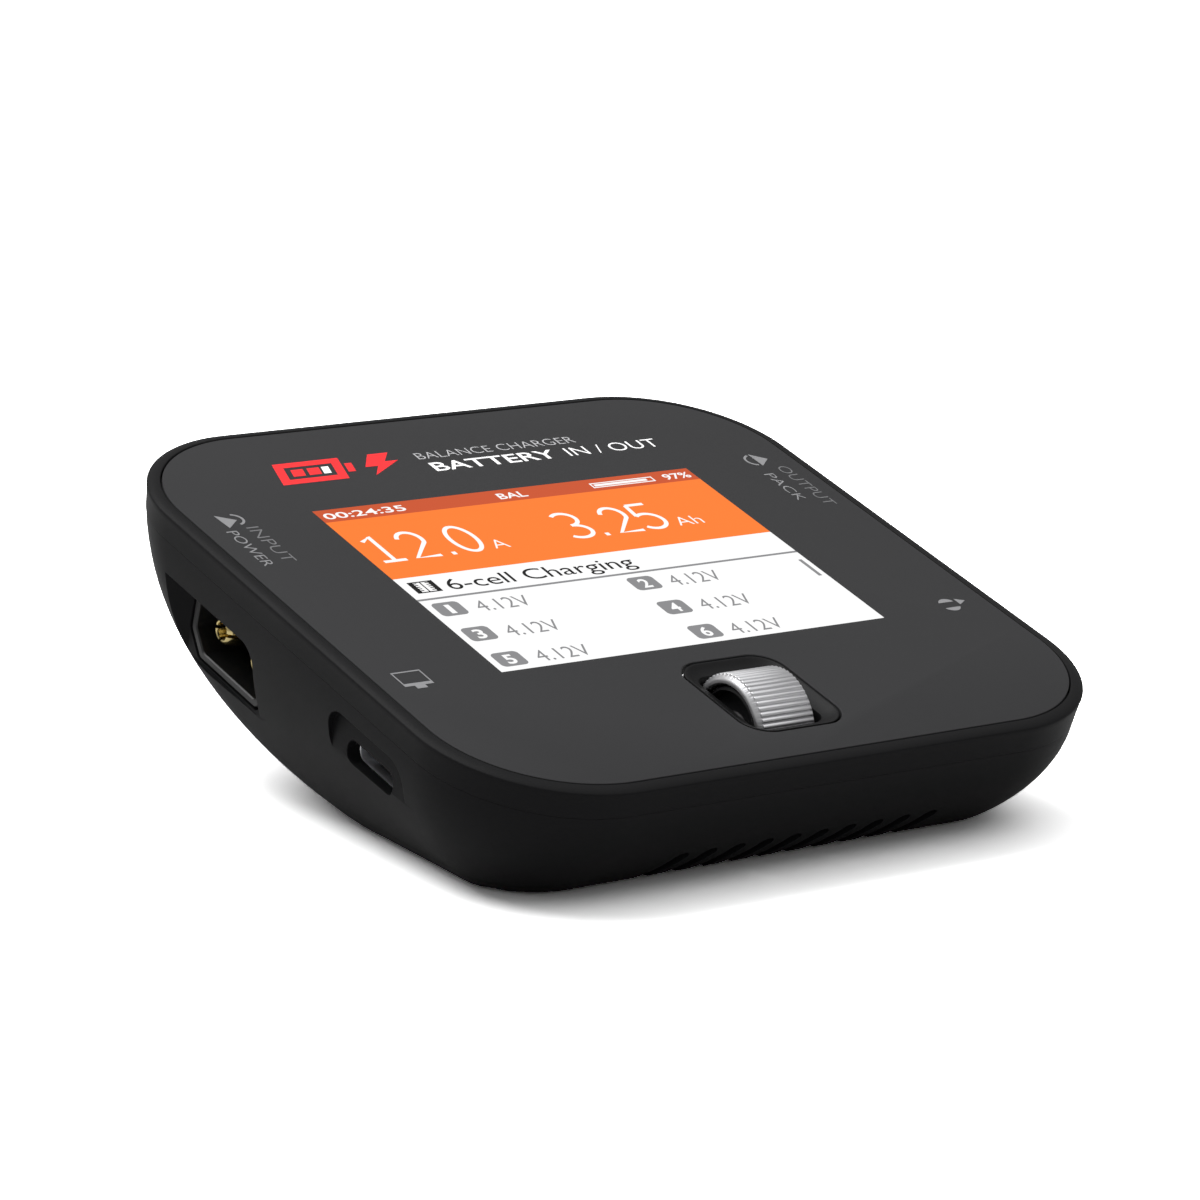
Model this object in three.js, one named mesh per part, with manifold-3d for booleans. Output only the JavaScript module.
// A pocket balance charger for model battery packs: an 80 mm square case with a tilted front panel,
// a display, a thumb wheel that turns and clicks, a fan, and power, balance and data sockets.
//
// Frame: millimetres, +Z up, +X to the right, -Y towards the user. The origin is on the floor, at
// the centre of the case's outline. Parts that lie along the panel are placed in the panel's frame:
// x to the right, u up the slope towards the back, and depth measured down from the panel's face.
import * as THREE from 'three';
import { mergeVertices } from 'three/addons/utils/BufferGeometryUtils.js';
import Module from 'manifold-3d';

const wasm = await Module();
wasm.setup();

// ---- Driving dimensions ----

const CASE_SIDE = 80; // side of the square rim, along the panel
const CASE_HEIGHT = 33.5; // from the floor to the top of the rim
const PANEL_TILT = THREE.MathUtils.degToRad(15);
const CASE_SHIFT = -0.3; // puts the middle of the case's outline over the origin
const WALL = 1.8;
const GAP = 0.3; // clearance between neighbouring parts

// Rim and front panel
const RIM_CORNER = 16;
const BEVEL_DROP = 0.35;
const RIM_LAND_HALF = 38.75; // where the bevel starts
const RECESS_HALF = 38.6; // seat of the front panel
const PANEL_THICKNESS = 1;
const LEDGE_TOP = PANEL_THICKNESS + GAP;
const LEDGE_BOTTOM = 2;
const LEDGE_HALF = 35.5; // half the opening under the front panel

// Seam between the upper frame and the lower shell
const SEAM_DEPTH = 3.2;
const SEAM_HALF = 39.6;
const SEAM_CORNER = 15.4;
const LIP_HALF = 38;
const LIP_CORNER = 13.8;
const LIP_THICKNESS = 0.9;

// The lower shell's flat underside, and how its walls curve down to it
const BELLY_HEIGHT = 0.4; // above the floor, because the feet stand proud
const BELLY = { frontHalf: 31.7, backHalf: 30.2, front: -27.7, back: 18.4, frontRadius: 7.1, backRadius: 22 };
const FRONT_CURVE = { reach: 0.63, lean: 0, flat: 0 };
const BACK_CURVE = { reach: 0.725, lean: THREE.MathUtils.degToRad(12), flat: 0.04 };
const CORNER_STEPS = 6;
const SIDE_STEPS = 4;
const WALL_STEPS = 7;

// Thumb wheel
const WHEEL = { u: -26.4, depth: 4.1, radius: 6, width: 7.2, ribs: 60, ribHeight: 0.22 };
const WHEEL_RING = 1.1; // thickness of the ribbed ring
const AXLE_RADIUS = 0.8;
const BORE_RADIUS = AXLE_RADIUS + GAP;
const PRESS_TRAVEL = 0.35;
const APERTURE = { half: [6.25, 7.45], radius: 3.2 };
const DISH_DEPTH = 0.7;

// Display
const LCD = { left: -31.5, right: 28.8, front: -18.9, back: 23.8, top: LEDGE_TOP, thickness: 1.4 };

// Circuit board
const BOARD = { half: 34, front: -31.5, back: 33, corner: 13, top: 10.6, thickness: 1.6 };
const BOARD_BOTTOM = BOARD.top + BOARD.thickness;
const PART_SEAT = BOARD.top - GAP; // depth at which parts sit on the board

// Power connectors: two contacts in a housing with two cut corners
const POWER = { u: 13.1, depth: 10.5, long: 16, short: 8.1, cut: 2.4, wall: 0.75, pitch: 7.2 };
const INPUT_MOUTH = -36.7;
const MOUTH_PLAY = 0.2; // between the mouth and the shell's wall in front of its end
const INPUT_CAVITY = 11;
const INPUT_BACK = -22;
const PIN_RADIUS = 1.75;
const PIN_TIP = -36;
const PIN_SPLIT = { width: 0.5, length: 5.5 };
const OUTPUT_NOSE = 35.8;
const OUTPUT_BLOCK = 28.5;
const NOSE = { long: 14, short: 6.3, cut: 1.8 };
const SOCKET_RADIUS = 2.3;
const POCKET = { front: 6.1, back: 24.6, top: 6.85, bottom: 15.1, wall: 36.7, corner: 2.2 };

// The shell's wall is thicker behind the pockets: the pads' places, and how far they pass a pocket
const PAD = { inner: 35, outer: 44, front: 3, back: 2, above: 2, below: 1.8 };
const USB_PAD_MARGIN = 1;

// Data socket
const USB = { u: -15.7, depth: 8.75, long: 8.95, short: 3.15, wall: 0.3, mouth: -36.8, back: -29.5 };
const USB_POCKET = { front: -22.4, back: -8.6, top: 5.1, bottom: 11, face: -38.3, corner: 2.4 };
const USB_OPENING = { long: 8.5, short: 2.6 };

// Balance socket: a row of square pins
const BALANCE = { u: -14.5, top: 4.5, long: 20, short: 5.8, back: 29.6, mouth: 37.7, pins: 7, pitch: 2.5 };
const BALANCE_PIN = 0.64;
const BALANCE_RECESS = { face: 38, corner: 1.5 };

// Fan, set in an opening of the circuit board
const FAN = { u: 6, side: 30, top: 9, thickness: 7, duct: 14, hub: 7, blades: 7 };
const FAN_BOTTOM = FAN.top + FAN.thickness;

// Air slots, slanted across the front edge and the belly
const SLOT = { width: 1.7, pitch: 3.49, count: 10, firstX: -14.7, tipY: -33.5, length: 12.4, top: 7 };
const SLOT_SLANT = THREE.MathUtils.degToRad(16.2);
const GRILLE = { y: 9.5, radius: 13, spacing: 2.77, each: 4, top: 5 };

// Fixings, as places in the panel's frame
const FIXINGS = [[-29, -28], [29, -28], [-26, 27], [26, 27]];
const SCREW = { shank: 1, head: 2.1, headTop: 14.6, headHeight: 1.3, tip: 5 };
const COLUMN_RADIUS = 2.3;
const BOSS_RADIUS = 3.5;

// Feet and rating label, as places on the belly
const FOOT = { radius: 3.5, thickness: 1.2, places: [[-25, -17.5], [25, -17.5], [-20, 9], [20, 9]] };
const LABEL = { half: [13, 4.6], y: -12.6, thickness: 0.4 };

// ---- The panel's frame ----

const PANEL_HEIGHT = CASE_HEIGHT - (CASE_SIDE / 2) * Math.sin(PANEL_TILT) + BEVEL_DROP * Math.cos(PANEL_TILT);
const panelMatrix = new THREE.Matrix4()
  .makeRotationX(PANEL_TILT)
  .setPosition(0, CASE_SHIFT, PANEL_HEIGHT);

function panelPoint(x, u, depth) {
  return new THREE.Vector3(x, u, -depth).applyMatrix4(panelMatrix);
}

// ---- Solids ----

// A closed geometry as a solid that can be joined and cut, moved by a matrix.
function solid(geometry, matrix = new THREE.Matrix4()) {
  const source = geometry.index ? geometry.toNonIndexed() : geometry;
  const bare = new THREE.BufferGeometry();
  bare.setAttribute('position', source.getAttribute('position').clone());
  bare.applyMatrix4(matrix);
  const merged = mergeVertices(bare, 1e-4);
  const mesh = new wasm.Mesh({
    numProp: 3,
    vertProperties: merged.getAttribute('position').array,
    triVerts: new Uint32Array(merged.index.array),
  });
  return new wasm.Manifold(mesh);
}

function geometryOf(made) {
  const { vertProperties, triVerts } = made.getMesh();
  const geometry = new THREE.BufferGeometry();
  geometry.setAttribute('position', new THREE.BufferAttribute(new Float32Array(vertProperties), 3));
  geometry.setIndex(new THREE.BufferAttribute(new Uint32Array(triVerts), 1));
  return geometry;
}

const joined = (solids) => solids.reduce((whole, next) => whole.add(next));
const cut = (body, tools) => tools.reduce((rest, tool) => rest.subtract(tool), body);

// A box between two depths of the panel's frame.
function slab(x0, x1, u0, u1, top, bottom) {
  const box = new THREE.BoxGeometry(x1 - x0, u1 - u0, bottom - top);
  return box.translate((x0 + x1) / 2, (u0 + u1) / 2, -(top + bottom) / 2);
}

// An outline in x and u, carried from one depth to another.
function plate(points, top, bottom) {
  const shape = new THREE.Shape(points.map(([x, u]) => new THREE.Vector2(x, u)));
  const geometry = new THREE.ExtrudeGeometry(shape, { depth: bottom - top, bevelEnabled: false });
  return geometry.translate(0, 0, -bottom);
}

// An outline in u and depth, carried along x.
function bar(points, x0, x1) {
  const shape = new THREE.Shape(points.map(([u, depth]) => new THREE.Vector2(u, -depth)));
  const geometry = new THREE.ExtrudeGeometry(shape, { depth: x1 - x0, bevelEnabled: false });
  const axes = new THREE.Matrix4().makeBasis(
    new THREE.Vector3(0, 1, 0),
    new THREE.Vector3(0, 0, 1),
    new THREE.Vector3(1, 0, 0),
  );
  return geometry.applyMatrix4(axes).translate(x0, 0, 0);
}

// An outline in x and depth, carried along u.
function strip(points, u0, u1) {
  const shape = new THREE.Shape(points.map(([x, depth]) => new THREE.Vector2(x, -depth)));
  const geometry = new THREE.ExtrudeGeometry(shape, { depth: u1 - u0, bevelEnabled: false });
  return geometry.rotateX(Math.PI / 2).translate(0, u1, 0);
}

// A round bar across the panel, and a round post along its depth.
function rod(radius, x0, x1, u, depth, sides = 24) {
  const geometry = new THREE.CylinderGeometry(radius, radius, x1 - x0, sides);
  return geometry.rotateZ(-Math.PI / 2).translate((x0 + x1) / 2, u, -depth);
}

function post(radius, top, bottom, x, u, sides = 24) {
  const geometry = new THREE.CylinderGeometry(radius, radius, bottom - top, sides);
  return geometry.rotateX(Math.PI / 2).translate(x, u, -(top + bottom) / 2);
}

// ---- Outlines ----

function arc(cx, cy, radius, fromDegrees, toDegrees, steps) {
  const points = [];
  for (let step = 0; step <= steps; step += 1) {
    const angle = THREE.MathUtils.degToRad(fromDegrees + ((toDegrees - fromDegrees) * step) / steps);
    points.push([cx + radius * Math.cos(angle), cy + radius * Math.sin(angle)]);
  }
  return points;
}

// A rounded outline, anticlockwise from the right side. Outlines of any size match point by point.
function roundedOutline({ frontHalf, backHalf, front, back, frontRadius, backRadius }) {
  const corners = [
    arc(backHalf - backRadius, back - backRadius, backRadius, 0, 90, CORNER_STEPS),
    arc(backRadius - backHalf, back - backRadius, backRadius, 90, 180, CORNER_STEPS),
    arc(frontRadius - frontHalf, front + frontRadius, frontRadius, 180, 270, CORNER_STEPS),
    arc(frontHalf - frontRadius, front + frontRadius, frontRadius, 270, 360, CORNER_STEPS),
  ];
  return [
    ...corners[0],
    ...corners[1],
    ...between(corners[1].at(-1), corners[2][0]),
    ...corners[2],
    ...corners[3],
    ...between(corners[3].at(-1), corners[0][0]),
  ];
}

// The points that divide a straight side.
function between(from, to) {
  const points = [];
  for (let step = 1; step < SIDE_STEPS; step += 1) {
    const part = step / SIDE_STEPS;
    points.push([from[0] + (to[0] - from[0]) * part, from[1] + (to[1] - from[1]) * part]);
  }
  return points;
}

const square = (half, radius) => roundedOutline({
  frontHalf: half, backHalf: half, front: -half, back: half, frontRadius: radius, backRadius: radius,
});

// A plain rounded rectangle about a centre, for small openings and parts.
function roundedRectangle(cx, cy, halfX, halfY, radius, steps = 5) {
  return [
    ...arc(cx + halfX - radius, cy + halfY - radius, radius, 0, 90, steps),
    ...arc(cx - halfX + radius, cy + halfY - radius, radius, 90, 180, steps),
    ...arc(cx - halfX + radius, cy - halfY + radius, radius, 180, 270, steps),
    ...arc(cx + halfX - radius, cy - halfY + radius, radius, 270, 360, steps),
  ];
}

// The power connector's outline in u and depth: two corners of its deeper side are cut off.
function powerOutline(long, short, corner) {
  const { u, depth } = POWER;
  return [
    [u - long / 2, depth - short / 2],
    [u + long / 2, depth - short / 2],
    [u + long / 2, depth + short / 2 - corner],
    [u + long / 2 - corner, depth + short / 2],
    [u - long / 2 + corner, depth + short / 2],
    [u - long / 2, depth + short / 2 - corner],
  ];
}

// A closed skin through rings of points, given from the bottom ring up.
function loft(rings) {
  const count = rings[0].length;
  const positions = rings.flat().flatMap((point) => point.toArray());
  const middle = (ring) => ring.reduce((sum, point) => sum.add(point), new THREE.Vector3()).divideScalar(count);
  positions.push(...middle(rings[0]).toArray(), ...middle(rings.at(-1)).toArray());
  const bottomMiddle = rings.length * count;
  const topMiddle = bottomMiddle + 1;
  const topStart = (rings.length - 1) * count;
  const index = [];
  for (let i = 0; i < count; i += 1) {
    const j = (i + 1) % count;
    for (let start = 0; start < topStart; start += count) {
      const above = start + count;
      index.push(start + i, start + j, above + j, start + i, above + j, above + i);
    }
    index.push(bottomMiddle, j, i, topMiddle, topStart + i, topStart + j);
  }
  const geometry = new THREE.BufferGeometry();
  geometry.setAttribute('position', new THREE.BufferAttribute(new Float32Array(positions), 3));
  geometry.setIndex(index);
  return geometry;
}

const ringAt = (points, depth) => points.map(([x, u]) => new THREE.Vector3(x, u, -depth));

// ---- Case ----

// The bowl of the lower shell, as rings from the belly up to a depth below the panel. Each wall is a
// cubic curve that leaves the seam square to the panel and meets the belly flat. The front walls are
// short and the back walls long, and the sides blend from one to the other.
function bowl(inset, topDepth) {
  const seam = square(SEAM_HALF - inset, SEAM_CORNER - inset);
  const belly = roundedOutline({
    frontHalf: BELLY.frontHalf - inset,
    backHalf: BELLY.backHalf - inset,
    front: BELLY.front + inset,
    back: BELLY.back - inset,
    frontRadius: BELLY.frontRadius - inset,
    backRadius: BELLY.backRadius - inset,
  });
  const down = new THREE.Vector3(0, Math.sin(PANEL_TILT), -Math.cos(PANEL_TILT));
  const walls = seam.map(([x, u], i) => {
    const start = panelPoint(x, u, SEAM_DEPTH + GAP / 2);
    const end = new THREE.Vector3(belly[i][0], belly[i][1] + CASE_SHIFT, BELLY_HEIGHT + inset);
    const back = THREE.MathUtils.smoothstep(u, -SEAM_HALF, SEAM_HALF);
    const mix = (name) => THREE.MathUtils.lerp(FRONT_CURVE[name], BACK_CURVE[name], back);
    const outward = start.clone().sub(end).setZ(0);
    const leave = down.clone().multiplyScalar(Math.cos(mix('lean')));
    leave.addScaledVector(outward.clone().normalize(), -Math.sin(mix('lean')));
    const first = start.clone().addScaledVector(leave, (start.z - end.z) * mix('reach'));
    const second = end.clone().addScaledVector(outward, mix('flat'));
    return new THREE.CubicBezierCurve3(end, second, first, start);
  });
  const rings = [];
  for (let step = 0; step <= WALL_STEPS; step += 1) {
    rings.push(walls.map((wall) => wall.getPoint(step / WALL_STEPS)));
  }
  if (topDepth !== undefined) rings.push(seam.map(([x, u]) => panelPoint(x, u, topDepth)));
  return loft(rings);
}

// A slanted air slot through the shell, given its middle, its length and the height it reaches.
function airSlot(x, y, length, top) {
  const end = length / 2 - SLOT.width / 2;
  const outline = new THREE.Shape();
  outline.absarc(0, end, SLOT.width / 2, 0, Math.PI, false);
  outline.absarc(0, -end, SLOT.width / 2, Math.PI, 2 * Math.PI, false);
  const geometry = new THREE.ExtrudeGeometry(outline, { depth: top + 1, bevelEnabled: false, curveSegments: 2 });
  return geometry.rotateZ(SLOT_SLANT).translate(x, y, -1);
}

function airSlots() {
  const slots = [];
  const middle = SLOT.length / 2 - SLOT.width / 2;
  for (let i = 0; i < SLOT.count; i += 1) {
    const x = SLOT.firstX + i * SLOT.pitch - middle * Math.sin(SLOT_SLANT);
    const y = SLOT.tipY + SLOT.width / 2 + middle * Math.cos(SLOT_SLANT);
    slots.push(solid(airSlot(x, y, SLOT.length, SLOT.top)));
  }
  for (let i = -GRILLE.each; i <= GRILLE.each; i += 1) {
    const offset = i * GRILLE.spacing;
    const length = 2 * Math.sqrt(GRILLE.radius ** 2 - offset ** 2);
    const x = offset * Math.cos(SLOT_SLANT);
    const y = GRILLE.y + offset * Math.sin(SLOT_SLANT);
    slots.push(solid(airSlot(x, y, length, GRILLE.top)));
  }
  return slots;
}

// The flared pocket of a power connector, and the space for its housing. side is -1 on the left.
function powerPocket(side) {
  const { front, back, top, bottom, wall, corner } = POCKET;
  const edge = CASE_SIDE / 2;
  const reach = edge + 5;
  const flare = plate(
    [[wall, front], [reach, front], [reach, back + 4.3], [edge, back], [wall, back + wall - edge]],
    top,
    bottom,
  );
  const window = bar([
    [back + 6, top],
    [back + 6, bottom],
    [front, bottom],
    ...arc(front + corner, top + corner, corner, 180, 270, 3),
  ], wall - 2, reach - 1);
  const housing = powerOutline(POWER.long + 2 * GAP, POWER.short + 2 * GAP, POWER.cut);
  const space = bar(housing, -INPUT_BACK - 2, MOUTH_PLAY - INPUT_MOUTH);
  const place = (geometry) => solidMirrored(geometry, panelMatrix, side);
  return place(flare).intersect(place(window)).add(place(space));
}

// A solid moved by a matrix, after it is mirrored to the left when side is -1.
function solidMirrored(geometry, matrix, side) {
  if (side > 0) return solid(geometry, matrix);
  const turned = geometry.index ? geometry.toNonIndexed() : geometry.clone();
  const position = turned.getAttribute('position');
  const [a, b] = [new THREE.Vector3(), new THREE.Vector3()];
  for (let i = 0; i < position.count; i += 3) {
    a.fromBufferAttribute(position, i + 1);
    b.fromBufferAttribute(position, i + 2);
    position.setXYZ(i + 1, b.x, b.y, b.z);
    position.setXYZ(i + 2, a.x, a.y, a.z);
  }
  return solid(turned, matrix.clone().multiply(new THREE.Matrix4().makeScale(-1, 1, 1)));
}

function usbPocket() {
  const { front, back, top, bottom, face, corner } = USB_POCKET;
  const middle = [(front + back) / 2, (top + bottom) / 2];
  const recess = roundedRectangle(...middle, (back - front) / 2, (bottom - top) / 2, corner);
  const halfShort = USB_OPENING.short / 2;
  const opening = roundedRectangle(USB.u, USB.depth, USB_OPENING.long / 2, halfShort, halfShort - 0.01);
  const halfLong = USB.long / 2 + GAP;
  const halfSpace = USB.short / 2 + GAP;
  const space = roundedRectangle(USB.u, USB.depth, halfLong, halfSpace, halfSpace - 0.01);
  const parts = [bar(recess, -45, face), bar(opening, -39, -36), bar(space, USB.mouth - GAP, -29)];
  return joined(parts.map((geometry) => solid(geometry, panelMatrix)));
}

function balancePocket() {
  const { u, top, long, short } = BALANCE;
  const middle = [u, top + short / 2];
  const { face, corner } = BALANCE_RECESS;
  const recess = roundedRectangle(...middle, long / 2 + 1, short / 2 + 0.9, corner);
  const opening = slab(face - 5, face + 1, u - long / 2 - GAP, u + long / 2 + GAP, top - GAP, top + short + GAP);
  return solid(bar(recess, face, PAD.outer), panelMatrix).add(solid(opening, panelMatrix));
}

function makeLowerShell() {
  const outside = solid(bowl(0));
  const inPanel = (geometry) => solid(geometry, panelMatrix);
  const beside = [POCKET.front - PAD.front, POCKET.back + PAD.back];
  const around = [POCKET.top - PAD.above, POCKET.bottom + PAD.below];
  const usbAround = [USB_POCKET.top - USB_PAD_MARGIN, USB_POCKET.bottom + USB_PAD_MARGIN];
  const pads = [
    slab(-PAD.outer, -PAD.inner, ...beside, ...around),
    slab(PAD.inner, PAD.outer, ...beside, ...around),
    slab(-PAD.outer, USB.mouth - GAP, USB_POCKET.front, USB_POCKET.back, ...usbAround),
  ].map((geometry) => inPanel(geometry).intersect(outside));
  const bosses = FIXINGS.map(([x, u]) => inPanel(post(BOSS_RADIUS, BOARD_BOTTOM + GAP, 30, x, u)).intersect(outside));
  const lip = inPanel(plate(square(LIP_HALF, LIP_CORNER), LEDGE_BOTTOM + GAP, SEAM_DEPTH + 2));
  const lipInside = square(LIP_HALF - LIP_THICKNESS, LIP_CORNER - LIP_THICKNESS);
  const lipRing = lip.subtract(inPanel(plate(lipInside, 0, SEAM_DEPTH + 4)));
  const shell = joined([outside.subtract(solid(bowl(WALL, 1))), ...pads, ...bosses, lipRing]);
  const screwHoles = FIXINGS.flatMap(([x, u]) => [
    inPanel(post(SCREW.shank + GAP, BOARD.top, 20, x, u, 16)),
    inPanel(post(SCREW.head + GAP, SCREW.headTop - GAP, 34, x, u)),
  ]);
  const footSeats = FOOT.places.map(([x, y]) => {
    const seat = new THREE.CylinderGeometry(FOOT.radius + 0.2, FOOT.radius + 0.2, FOOT.thickness + 1.1, 24);
    return solid(seat.rotateX(Math.PI / 2).translate(x, y, (FOOT.thickness - 0.9) / 2));
  });
  const labelSeat = new THREE.BoxGeometry(2 * LABEL.half[0] + 0.4, 2 * LABEL.half[1] + 0.4, 2);
  labelSeat.translate(0, LABEL.y, BELLY_HEIGHT + LABEL.thickness + 0.1 - 1);
  return cut(shell, [
    powerPocket(-1),
    powerPocket(1),
    usbPocket(),
    balancePocket(),
    ...airSlots(),
    ...screwHoles,
    ...footSeats,
    solid(labelSeat),
  ]);
}

function makeUpperFrame() {
  const skin = loft([
    ringAt(square(SEAM_HALF + 0.02, SEAM_CORNER), SEAM_DEPTH - GAP / 2),
    ringAt(square(CASE_SIDE / 2, RIM_CORNER), BEVEL_DROP),
    ringAt(square(RIM_LAND_HALF, RIM_CORNER - 1.25), 0),
  ]);
  const seat = plate(square(RECESS_HALF, RIM_CORNER - 1.4), -1, LEDGE_TOP);
  const under = plate(square(LIP_HALF + GAP, LIP_CORNER + GAP), LEDGE_BOTTOM, SEAM_DEPTH + 1);
  // The ledge's opening leaves a web in each corner, which carries the screw columns.
  const half = LEDGE_HALF;
  const opening = [
    [half, 19], [31.5, 24.4], [22.8, 24.4], [20, half], [-20, half], [-22.8, 24.4], [-31.5, 24.4], [-half, 19],
    [-half, -17], [-17, -half], [17, -half], [half, -17],
  ];
  const ring = cut(solid(skin), [solid(seat), solid(under), solid(plate(opening, 0, SEAM_DEPTH))]);
  const columns = FIXINGS.map(([x, u]) => solid(post(COLUMN_RADIUS, LEDGE_TOP + 0.2, PART_SEAT, x, u)));
  const holes = FIXINGS.map(([x, u]) => solid(post(SCREW.shank + GAP, SCREW.tip - GAP, PART_SEAT + 1, x, u, 16)));
  return cut(joined([ring, ...columns]), holes);
}

function makeFrontPanel() {
  const outline = square(RECESS_HALF - GAP, RIM_CORNER - 1.4 - GAP);
  const aperture = roundedRectangle(0, WHEEL.u, ...APERTURE.half, APERTURE.radius);
  return solid(plate(outline, 0, PANEL_THICKNESS)).subtract(solid(plate(aperture, -1, 2)));
}

// ---- Thumb wheel and encoder ----

function makeBezel() {
  const [halfX, halfU] = APERTURE.half.map((half) => half - GAP);
  const rim = plate(roundedRectangle(0, WHEEL.u, halfX, halfU, APERTURE.radius - GAP), 0.05, 2.1);
  const flange = slab(-8.3, 8.3, WHEEL.u - halfU, WHEEL.u + halfU, LEDGE_TOP, 2.1);
  const dish = loft([
    ringAt(roundedRectangle(0, WHEEL.u, halfX - 1.6, halfU - 1.3, APERTURE.radius - 1.2), DISH_DEPTH),
    ringAt(roundedRectangle(0, WHEEL.u, halfX - 0.25, halfU - 0.25, APERTURE.radius - GAP), 0.04),
    ringAt(roundedRectangle(0, WHEEL.u, halfX - 0.25, halfU - 0.25, APERTURE.radius - GAP), -1),
  ]);
  const clearance = rod(WHEEL.radius + 0.35, -4, 4, WHEEL.u, WHEEL.depth, 48);
  return solid(rim).add(solid(flange)).subtract(solid(dish)).subtract(solid(clearance));
}

function makeThumbWheel() {
  const outline = new THREE.Shape();
  for (let i = 0; i < 2 * WHEEL.ribs; i += 1) {
    const radius = i % 2 ? WHEEL.radius - WHEEL.ribHeight : WHEEL.radius;
    const angle = (i * Math.PI) / WHEEL.ribs;
    const point = [radius * Math.cos(angle), radius * Math.sin(angle)];
    if (i === 0) outline.moveTo(...point);
    else outline.lineTo(...point);
  }
  const bore = new THREE.Path();
  bore.absarc(0, 0, WHEEL.radius - WHEEL_RING, 0, 2 * Math.PI, true);
  outline.holes.push(bore);
  const ring = new THREE.ExtrudeGeometry(outline, { depth: WHEEL.width, bevelEnabled: false, curveSegments: 32 });
  return ring.rotateY(Math.PI / 2).translate(-WHEEL.width / 2, WHEEL.u, -WHEEL.depth);
}

function makeWheelHub() {
  const radius = WHEEL.radius - WHEEL_RING - GAP;
  const half = WHEEL.width / 2 - 0.35;
  const hub = solid(rod(radius, -half, half, WHEEL.u, WHEEL.depth, 32));
  return hub.subtract(solid(rod(BORE_RADIUS, -5, 5, WHEEL.u, WHEEL.depth, 16)));
}

function makeCarriage() {
  const { u, depth } = WHEEL;
  const cheek = [
    [u - 2.1, depth - 1.4], [u + 2.1, depth - 1.4], [u + 7.8, depth + 2.1], [u + 7.8, depth + 3.9],
    [u + 1, depth + 3.9], [u - 2.1, depth + 1.6],
  ];
  const cheeks = [[-5.7, -4.5], [4.5, 5.7]].map(([x0, x1]) => solid(bar(cheek, x0, x1)));
  const bridge = solid(slab(-5.7, 5.7, u + 5.9, u + 7.8, depth + 2.1, depth + 3.9));
  return joined([...cheeks, bridge]).subtract(solid(rod(BORE_RADIUS, -7, 7, u, depth, 16)));
}

function makeEncoderBase() {
  const { u, depth } = WHEEL;
  const posts = [[-8.4, -6], [6, 8.4]].map(([x0, x1]) => solid(slab(x0, x1, u - 2.6, u + 2.6, 2.4, PART_SEAT)));
  const feet = [[-8.4, -6], [6, 8.4]].map(([x0, x1]) => solid(slab(x0, x1, u - 6.2, u, 8.7, PART_SEAT)));
  const bridge = solid(slab(-8.4, 8.4, u - 6.2, u - 4.7, 8.7, PART_SEAT));
  const slot = solid(slab(-9, 9, u - BORE_RADIUS, u + BORE_RADIUS, depth - 1.3, depth + 1.3 + PRESS_TRAVEL));
  return joined([...posts, ...feet, bridge]).subtract(slot);
}

const SWITCH_U = WHEEL.u + 6.8;

function makePressSwitch() {
  const body = solid(slab(-1.7, 1.7, SWITCH_U - 1.6, SWITCH_U + 1.6, 9.3, PART_SEAT));
  return body.subtract(solid(post(1.25, 9, 10.1, 0, SWITCH_U, 16)));
}

// ---- Display ----

function lcdSlab(top, bottom) {
  return slab(LCD.left, LCD.right, LCD.front, LCD.back, top, bottom);
}

// A ribbon that leaves the display's left edge and folds down onto the board.
function makeFlex() {
  const edge = LCD.left - GAP;
  const fold = edge - 2.6;
  return strip([
    [edge, 2.9], [fold + 0.8, 2.9], [fold, 3.7], [fold, 9.6], [fold + 0.7, PART_SEAT], [edge, PART_SEAT],
    [edge, 10], [fold + 0.85, 10], [fold + 0.3, 9.45], [fold + 0.3, 3.85], [fold + 0.95, 3.2], [edge, 3.2],
  ], -7, 2);
}

// ---- Circuit board and what stands on it ----

function makeBoard() {
  const outline = roundedRectangle(
    0, (BOARD.front + BOARD.back) / 2, BOARD.half, (BOARD.back - BOARD.front) / 2, BOARD.corner, 6,
  );
  const space = FAN.side / 2 + 0.4;
  const notch = (x0, x1) => solid(slab(
    x0, x1, POWER.u - POWER.long / 2 - 0.5, POWER.u + POWER.long / 2 + 0.5, BOARD.top - 1, BOARD_BOTTOM + 1,
  ));
  return cut(solid(plate(outline, BOARD.top, BOARD_BOTTOM)), [
    solid(slab(-space, space, FAN.u - space, FAN.u + space, BOARD.top - 1, BOARD_BOTTOM + 1)),
    notch(-BOARD.half - 1, INPUT_BACK + 2),
    notch(-INPUT_BACK - 2, BOARD.half + 1),
    ...FIXINGS.map(([x, u]) => solid(post(1.5, BOARD.top - 1, BOARD_BOTTOM + 1, x, u, 16))),
  ]);
}

function makeHeatsink() {
  const base = { left: -11, right: 25, front: -17.6, back: -10, top: 7.1, bottom: 8.1 };
  const fins = 10;
  const finWidth = 1;
  const pitch = (base.right - base.left - finWidth) / (fins - 1);
  const parts = [solid(slab(base.left, base.right, base.front, base.back, base.top, base.bottom))];
  for (let i = 0; i < fins; i += 1) {
    const x = base.left + i * pitch;
    parts.push(solid(slab(x, x + finWidth, base.front, base.back, 4.5, base.top + 0.2)));
  }
  return joined(parts);
}

const TRANSISTOR_X = [-7.5, 2, 12, 21.5];
const transistor = (x) => slab(x - 2.6, x + 2.6, -16.8, -10.8, 9.1, PART_SEAT);
const inductor = (x) => plate(roundedRectangle(x, -3.4, 5.8, 5.8, 1.2, 2), 4.4, PART_SEAT);
const capacitor = (x) => post(4, 4.3, PART_SEAT, x, 27, 20);

// ---- Power connectors ----

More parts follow.
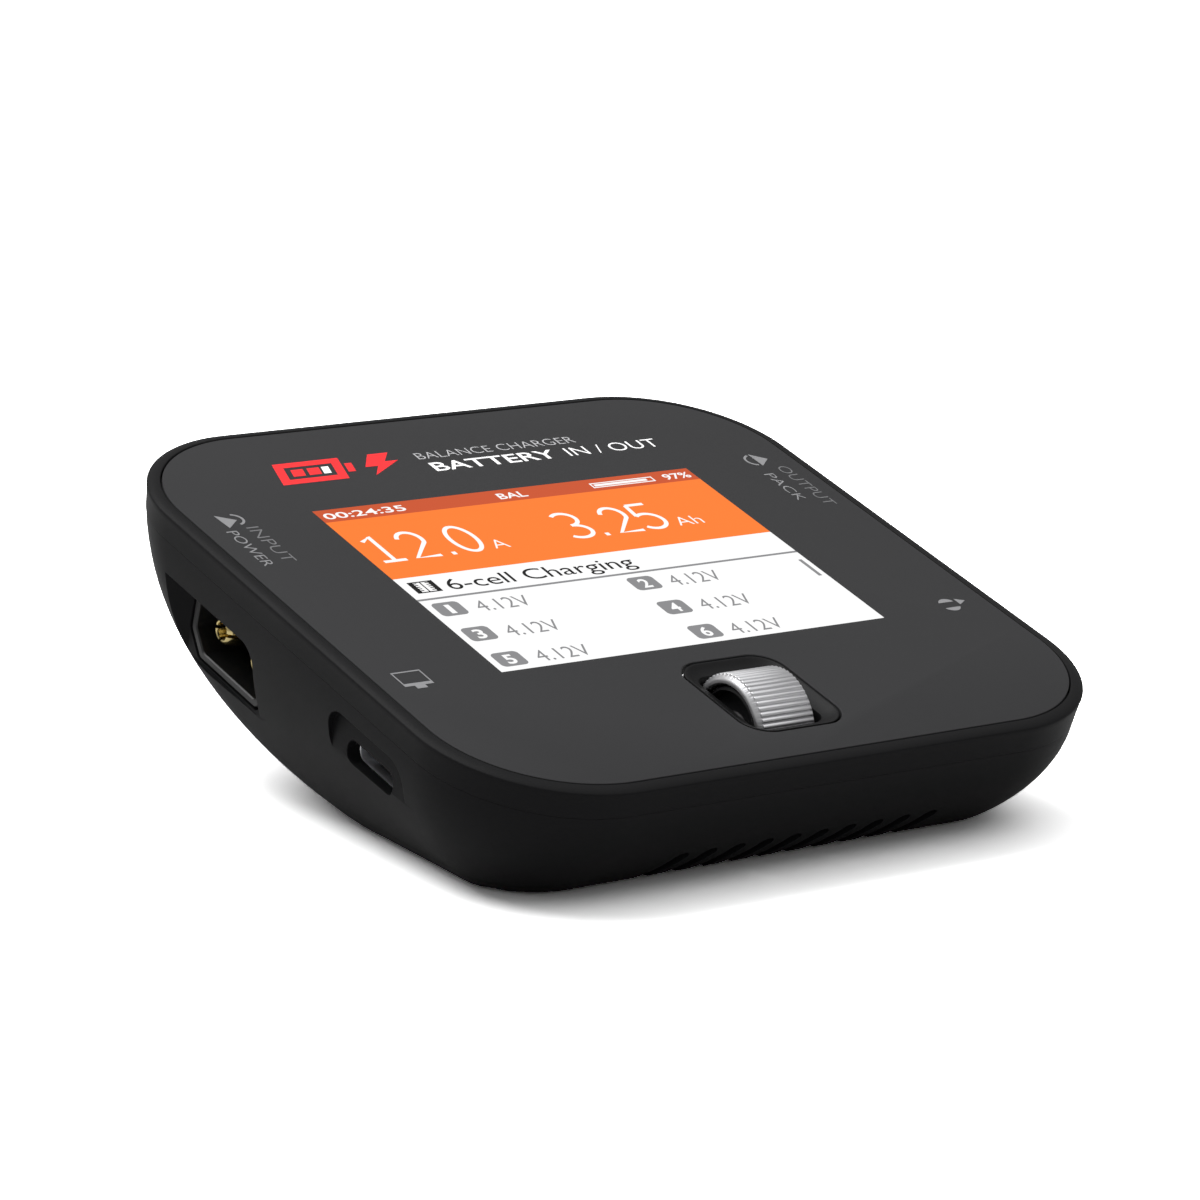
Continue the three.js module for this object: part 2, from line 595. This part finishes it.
function makeInputHousing() {
  const body = solid(bar(powerOutline(POWER.long, POWER.short, POWER.cut), INPUT_MOUTH, INPUT_BACK));
  const inner = powerOutline(POWER.long - 2 * POWER.wall, POWER.short - 2 * POWER.wall, POWER.cut - 0.3);
  const cavity = solid(bar(inner, INPUT_MOUTH - 1, INPUT_MOUTH + INPUT_CAVITY));
  const bores = contactPlaces().map((u) => solid(rod(PIN_RADIUS + GAP, -30, -20, u, POWER.depth)));
  return cut(body, [cavity, ...bores]);
}

const contactPlaces = () => [POWER.u + POWER.pitch / 2, POWER.u - POWER.pitch / 2];

// A split bullet contact, whose tail reaches behind the housing.
function makeInputPin(u) {
  const round = solid(rod(PIN_RADIUS, PIN_TIP, INPUT_BACK + 1.5, u, POWER.depth));
  const half = PIN_SPLIT.width / 2;
  const end = PIN_TIP + PIN_SPLIT.length;
  const splits = [
    slab(PIN_TIP - 1, end, u - half, u + half, POWER.depth - 3, POWER.depth + 3),
    slab(PIN_TIP - 1, end, u - 3, u + 3, POWER.depth - half, POWER.depth + half),
  ];
  return cut(round, splits.map((geometry) => solid(geometry)));
}

function makeOutputHousing() {
  const block = solid(bar(powerOutline(POWER.long, POWER.short, POWER.cut), -INPUT_BACK, OUTPUT_BLOCK));
  const nose = solid(bar(powerOutline(NOSE.long, NOSE.short, NOSE.cut), OUTPUT_BLOCK - 1, OUTPUT_NOSE));
  const bores = contactPlaces().map((u) => solid(rod(SOCKET_RADIUS + GAP, 20, 40, u, POWER.depth)));
  return cut(block.add(nose), bores);
}

function makeOutputSocket(u) {
  const tube = solid(rod(SOCKET_RADIUS, 21, OUTPUT_NOSE - 0.5, u, POWER.depth));
  return tube.subtract(solid(rod(PIN_RADIUS + 0.05, 26, 40, u, POWER.depth)));
}

// ---- Balance and data sockets ----

function makeBalanceSocket() {
  const { u, top, long, short, back, mouth } = BALANCE;
  const body = solid(slab(back, mouth, u - long / 2, u + long / 2, top, top + short));
  const cavity = solid(slab(back + 1.6, mouth + 1, u - long / 2 + 0.8, u + long / 2 - 0.8, top + 0.75, top + short - 0.75));
  const keys = [-6.5, 6.5].map((offset) => solid(
    slab(mouth - 3.5, mouth + 1, u + offset - 0.8, u + offset + 0.8, top - 1, top + 1),
  ));
  const hole = BALANCE_PIN / 2 + GAP;
  const depth = top + short / 2;
  const holes = balancePinPlaces().map((place) => solid(
    slab(back - 1, back + 3, place - hole, place + hole, depth - hole, depth + hole),
  ));
  return cut(body, [cavity, ...keys, ...holes]);
}

function balancePinPlaces() {
  const first = BALANCE.u - ((BALANCE.pins - 1) * BALANCE.pitch) / 2;
  return Array.from({ length: BALANCE.pins }, (_, i) => first + i * BALANCE.pitch);
}

// A square pin that turns down to the board behind the socket.
function makeBalancePin(u) {
  const half = BALANCE_PIN / 2;
  const depth = BALANCE.top + BALANCE.short / 2;
  const tail = BALANCE.back - 1.6;
  const length = solid(slab(tail, BALANCE.mouth - 1.5, u - half, u + half, depth - half, depth + half));
  return length.add(solid(slab(tail, tail + BALANCE_PIN, u - half, u + half, depth - half, PART_SEAT)));
}

function makeUsbShell() {
  const { u, depth, long, short, wall, mouth, back } = USB;
  const outer = roundedRectangle(u, depth, long / 2, short / 2, short / 2 - 0.01);
  const inner = roundedRectangle(u, depth, long / 2 - wall, short / 2 - wall, short / 2 - wall - 0.01);
  return solid(bar(outer, mouth, back)).subtract(solid(bar(inner, mouth - 1, back - wall)));
}

// ---- Fan ----

function makeFanFrame() {
  const half = FAN.side / 2;
  const block = solid(plate(roundedRectangle(0, FAN.u, half, half, 2.5, 3), FAN.top, FAN_BOTTOM));
  const duct = solid(post(FAN.duct, FAN.top - 1, FAN_BOTTOM + 1, 0, FAN.u, 40));
  const corner = half - 3;
  const holes = [[-1, -1], [1, -1], [1, 1], [-1, 1]].map(([sx, su]) => solid(
    post(1.6, FAN.top - 1, FAN_BOTTOM + 1, sx * corner, FAN.u + su * corner, 12),
  ));
  const motorSeat = solid(post(FAN.hub + 0.6, FAN_BOTTOM - 1, FAN_BOTTOM, 0, FAN.u, 32));
  const struts = [30, 150, 270].map((degrees) => {
    const strut = new THREE.BoxGeometry(FAN.duct + 0.4, 1.6, 1);
    strut.translate(FAN.duct / 2 + 0.2, 0, 0).rotateZ(THREE.MathUtils.degToRad(degrees));
    return solid(strut.translate(0, FAN.u, -FAN_BOTTOM + 0.5));
  });
  const bore = solid(post(BORE_RADIUS, FAN_BOTTOM - 2, FAN_BOTTOM + 1, 0, FAN.u, 16));
  return cut(joined([cut(block, [duct, ...holes]), motorSeat, ...struts]), [bore]);
}

function makeFanRotor() {
  const bladeTop = FAN.top + 0.7;
  const bladeBottom = FAN_BOTTOM - 1.7;
  const reach = FAN.duct - 0.6;
  const parts = [solid(post(FAN.hub, FAN.top + 0.4, FAN_BOTTOM - 1.4, 0, FAN.u, 32))];
  for (let i = 0; i < FAN.blades; i += 1) {
    const blade = new THREE.BoxGeometry(reach - FAN.hub + 1, 6, 0.8);
    blade.rotateX(THREE.MathUtils.degToRad(38));
    blade.translate((reach + FAN.hub - 1) / 2, 0, 0);
    blade.rotateZ((i * 2 * Math.PI) / FAN.blades);
    parts.push(solid(blade.translate(0, FAN.u, -(bladeTop + bladeBottom) / 2)));
  }
  const sweep = solid(post(reach, bladeTop - 0.3, bladeBottom, 0, FAN.u, 40));
  const bore = solid(post(BORE_RADIUS, FAN_BOTTOM - 4, FAN_BOTTOM, 0, FAN.u, 16));
  return joined(parts).intersect(sweep).subtract(bore);
}

// The lead lies in a short loop beside the fan, between its frame and its connector.
function makeFanLead() {
  const depth = 9.4;
  const route = new THREE.CatmullRomCurve3([
    new THREE.Vector3(FAN.side / 2 + GAP, 17.2, -depth),
    new THREE.Vector3(16.6, 17.9, -depth),
    new THREE.Vector3(18.2, 17.6, -depth),
    new THREE.Vector3(18.7, 16, -depth),
    new THREE.Vector3(18.7, 14.4, -depth),
  ]);
  const section = new THREE.Shape();
  section.absarc(0, 0, 0.55, 0, 2 * Math.PI, false);
  return new THREE.ExtrudeGeometry(section, { extrudePath: route, steps: 8, curveSegments: 4 });
}

// ---- Fixings ----

function makeScrew([x, u]) {
  const { shank, head, headTop, headHeight, tip } = SCREW;
  const profile = [[0, -headTop - headHeight], [head, -headTop - headHeight], [head, -headTop], [shank, -headTop],
    [shank, -tip - 0.6], [0.3, -tip], [0, -tip]];
  const body = new THREE.LatheGeometry(profile.map(([r, z]) => new THREE.Vector2(r, z)), 16);
  const drive = [0, Math.PI / 2].map((angle) => {
    const blade = new THREE.BoxGeometry(2.2, 0.5, 0.8).rotateZ(angle);
    return solid(blade.translate(0, 0, -headTop - headHeight));
  });
  return cut(solid(body.rotateX(Math.PI / 2)), drive).translate([x, u, 0]);
}

function makeFoot([x, y]) {
  const { radius, thickness } = FOOT;
  const profile = [[0, 0], [radius - 0.25, 0], [radius, 0.25], [radius, thickness], [0, thickness]];
  const foot = new THREE.LatheGeometry(profile.map(([r, z]) => new THREE.Vector2(r, z)), 24);
  return foot.rotateX(Math.PI / 2).translate(x, y, 0);
}

// ---- Materials ----

function finish(color, roughness, metalness = 0) {
  return new THREE.MeshStandardMaterial({ color, roughness, metalness });
}

const MATERIALS = {
  caseBlack: () => finish('#17181a', 0.5),
  panel: () => finish('#434345', 0.3),
  innerBlack: () => finish('#0e0e10', 0.55),
  wheelMetal: () => finish('#b9babd', 0.28, 1),
  steel: () => finish('#8d9094', 0.35, 1),
  gold: () => finish('#d9b060', 0.25, 1),
  display: () => finish('#f2f2f0', 0.35),
  board: () => finish('#16351f', 0.5),
  flex: () => finish('#a5681c', 0.45),
  ferrite: () => finish('#2c2e30', 0.7),
  canSilver: () => finish('#b4b7ba', 0.35, 0.8),
  ivory: () => finish('#e6e2d3', 0.5),
  pad: () => finish('#7f9db3', 0.8),
  rubber: () => finish('#101010', 0.9),
  label: () => finish('#8a8c8f', 0.55),
};

// ---- Assembly ----

const charger = new THREE.Group();
const panel = new THREE.Group();
panel.applyMatrix4(panelMatrix);
charger.add(panel);

function add(parent, name, shape, material) {
  const geometry = shape.isBufferGeometry ? shape : geometryOf(shape);
  const mesh = new THREE.Mesh(geometry, MATERIALS[material]());
  mesh.name = name;
  parent.add(mesh);
}

add(panel, 'front_panel', makeFrontPanel(), 'panel');
add(panel, 'upper_frame', makeUpperFrame(), 'caseBlack');
add(charger, 'lower_shell', makeLowerShell(), 'caseBlack');

add(panel, 'wheel_bezel', makeBezel(), 'innerBlack');
add(panel, 'thumb_wheel', makeThumbWheel(), 'wheelMetal');
add(panel, 'wheel_hub', makeWheelHub(), 'innerBlack');
add(panel, 'wheel_axle', rod(AXLE_RADIUS, -7.2, 7.2, WHEEL.u, WHEEL.depth, 12), 'steel');
add(panel, 'encoder_carriage', makeCarriage(), 'innerBlack');
add(panel, 'encoder_base', makeEncoderBase(), 'innerBlack');
add(panel, 'press_switch', makePressSwitch(), 'steel');
add(panel, 'switch_plunger', post(0.9, 8.3, 9.5, 0, SWITCH_U, 12), 'ivory');

add(panel, 'lcd_panel', lcdSlab(LCD.top, LCD.top + LCD.thickness), 'display');
add(panel, 'lcd_tray', lcdSlab(LCD.top + LCD.thickness + GAP, LCD.top + LCD.thickness + 1.2), 'steel');
add(panel, 'lcd_flex', makeFlex(), 'flex');

add(panel, 'main_board', makeBoard(), 'board');
add(panel, 'heatsink', makeHeatsink(), 'canSilver');
add(panel, 'thermal_pad', slab(-10.5, 24.5, -17, -10.5, 8.4, 8.8), 'pad');
TRANSISTOR_X.forEach((x, i) => add(panel, `power_transistor_${i + 1}`, transistor(x), 'innerBlack'));
[-23, 21.6].forEach((x, i) => add(panel, `inductor_${i + 1}`, inductor(x), 'ferrite'));
[-17, -8.5, 0, 8.5].forEach((x, i) => add(panel, `capacitor_${i + 1}`, capacitor(x), 'canSilver'));
add(panel, 'buzzer', post(4.4, 5.8, PART_SEAT, 17.6, 27, 20), 'innerBlack');
add(panel, 'control_chip', slab(-24, -14, -20.6, -10.6, 8.9, PART_SEAT), 'innerBlack');
add(panel, 'shunt_resistor', slab(16.8, 23.2, -23.6, -20.4, 9.5, PART_SEAT), 'steel');

add(panel, 'input_housing', makeInputHousing(), 'innerBlack');
add(panel, 'output_housing', makeOutputHousing(), 'innerBlack');
contactPlaces().forEach((u, i) => {
  const end = i === 0 ? 'rear' : 'front';
  add(panel, `input_pin_${end}`, makeInputPin(u), 'gold');
  add(panel, `output_socket_${end}`, makeOutputSocket(u), 'gold');
});

add(panel, 'balance_socket', makeBalanceSocket(), 'ivory');
balancePinPlaces().forEach((u, i) => add(panel, `balance_pin_${i + 1}`, makeBalancePin(u), 'gold'));
add(panel, 'usb_shell', makeUsbShell(), 'steel');
add(panel, 'usb_tongue', slab(-36, -30.1, USB.u - 3.3, USB.u + 3.3, USB.depth - 0.35, USB.depth + 0.35), 'innerBlack');

add(panel, 'fan_frame', makeFanFrame(), 'innerBlack');
add(panel, 'fan_rotor', makeFanRotor(), 'innerBlack');
add(panel, 'fan_shaft', post(AXLE_RADIUS, 12.4, FAN_BOTTOM - 0.1, 0, FAN.u, 12), 'steel');
add(panel, 'fan_lead', makeFanLead(), 'rubber');
add(panel, 'fan_connector', slab(17, 20.4, 10, 14.1, 8.3, PART_SEAT), 'ivory');

FIXINGS.forEach((place, i) => add(panel, `case_screw_${i + 1}`, makeScrew(place), 'steel'));
FOOT.places.forEach((place, i) => add(charger, `foot_${i + 1}`, makeFoot(place), 'rubber'));

const label = new THREE.BoxGeometry(2 * LABEL.half[0], 2 * LABEL.half[1], LABEL.thickness);
add(charger, 'label_plate', label.translate(0, LABEL.y, BELLY_HEIGHT + LABEL.thickness / 2), 'label');

export default charger;
